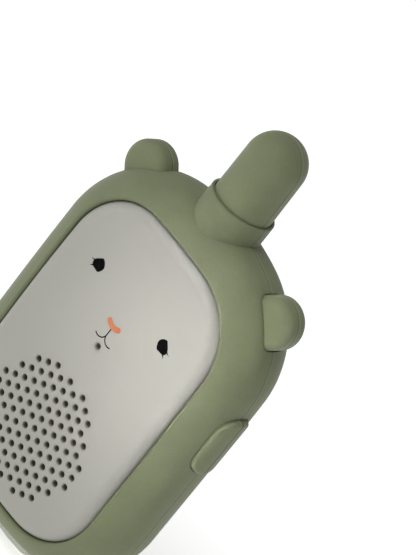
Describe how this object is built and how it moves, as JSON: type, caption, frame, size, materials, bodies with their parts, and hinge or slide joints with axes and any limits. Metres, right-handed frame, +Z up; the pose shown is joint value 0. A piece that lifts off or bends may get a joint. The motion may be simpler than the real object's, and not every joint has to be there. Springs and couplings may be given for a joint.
{
  "type": "toy walkie talkie",
  "caption": "Child's handheld toy radio with a bear face: rounded two-part case, domed grille panel, stub antenna, ear buttons, side talk button and rear battery door.",
  "frame": {"origin": "centre of the foot pad's flat underside, on the plane where the case halves meet", "axes": "+X to the right seen from the front, +Y to the back, +Z up along the antenna; the face looks along -Y"},
  "size_m": [0.0731, 0.0276, 0.1291],
  "materials": {
    "green_soft_touch": "matte soft-touch sage green",
    "panel_grey": "satin moulded warm grey",
    "black_print": "matt pad print",
    "orange_print": "matt pad print",
    "rubber_pad": "pale matte rubber",
    "black_plastic": "matt black moulding",
    "board_green": "solder mask",
    "steel": "bright zinc plated",
    "copper": "bare copper",
    "cell_wrap": "printed shrink wrap",
    "cone_paper": "black doped paper",
    "cloth": "black woven cloth",
    "wire_red": "insulated lead",
    "foam": "closed-cell foam"
  },
  "bodies": {
    "case": {"front_shell": "green_soft_touch", "rear_shell": "green_soft_touch", "face_panel": "panel_grey", "left_eye": "black_print", "right_eye": "black_print", "nose": "orange_print", "mouth": "black_print", "antenna_front_half": "green_soft_touch", "antenna_rear_half": "green_soft_touch", "antenna_rod": "black_plastic", "antenna_coil": "copper", "antenna_lead": "wire_red", "left_ear_switch": "black_plastic", "right_ear_switch": "black_plastic", "talk_switch": "black_plastic", "foot_pad": "rubber_pad", "case_screws": "steel", "battery_tray": "black_plastic", "battery_left": "cell_wrap", "battery_middle": "cell_wrap", "battery_right": "cell_wrap", "contact_springs": "steel", "contact_plates": "steel", "speaker_frame": "steel", "speaker_cone": "cone_paper", "speaker_magnet": "steel", "speaker_cloth": "cloth", "speaker_gasket": "foam", "microphone": "steel", "microphone_boot": "foam", "main_board": "board_green", "board_screws": "steel", "shield_can": "steel", "main_chip": "black_plastic", "board_parts": "black_plastic", "speaker_leads": "wire_red", "battery_leads": "wire_red", "microphone_leads": "wire_red"},
    "talk": {"talk_button": "green_soft_touch"},
    "left_ear": {"left_ear_button": "green_soft_touch"},
    "right_ear": {"right_ear_button": "green_soft_touch"},
    "door": {"battery_door": "green_soft_touch", "door_screw": "steel"}
  },
  "joints": [
    {"name": "talk_press", "type": "slide", "parent": "case", "child": "talk", "axis": [-1, 0, 0], "range_m": [0, 0.001], "stiffness_N_per_m": 1200, "springref_m": -0.0008},
    {"name": "left_ear_press", "type": "slide", "parent": "case", "child": "left_ear", "axis": [0.6756, 0, -0.7373], "range_m": [0, 0.0008], "stiffness_N_per_m": 1200, "springref_m": -0.0008},
    {"name": "right_ear_press", "type": "slide", "parent": "case", "child": "right_ear", "axis": [-0.6756, 0, -0.7373], "range_m": [0, 0.0008], "stiffness_N_per_m": 1200, "springref_m": -0.0008},
    {"name": "door_lift", "type": "slide", "parent": "case", "child": "door", "axis": [0, 1, 0], "range_m": [0, 0.025]}
  ]
}
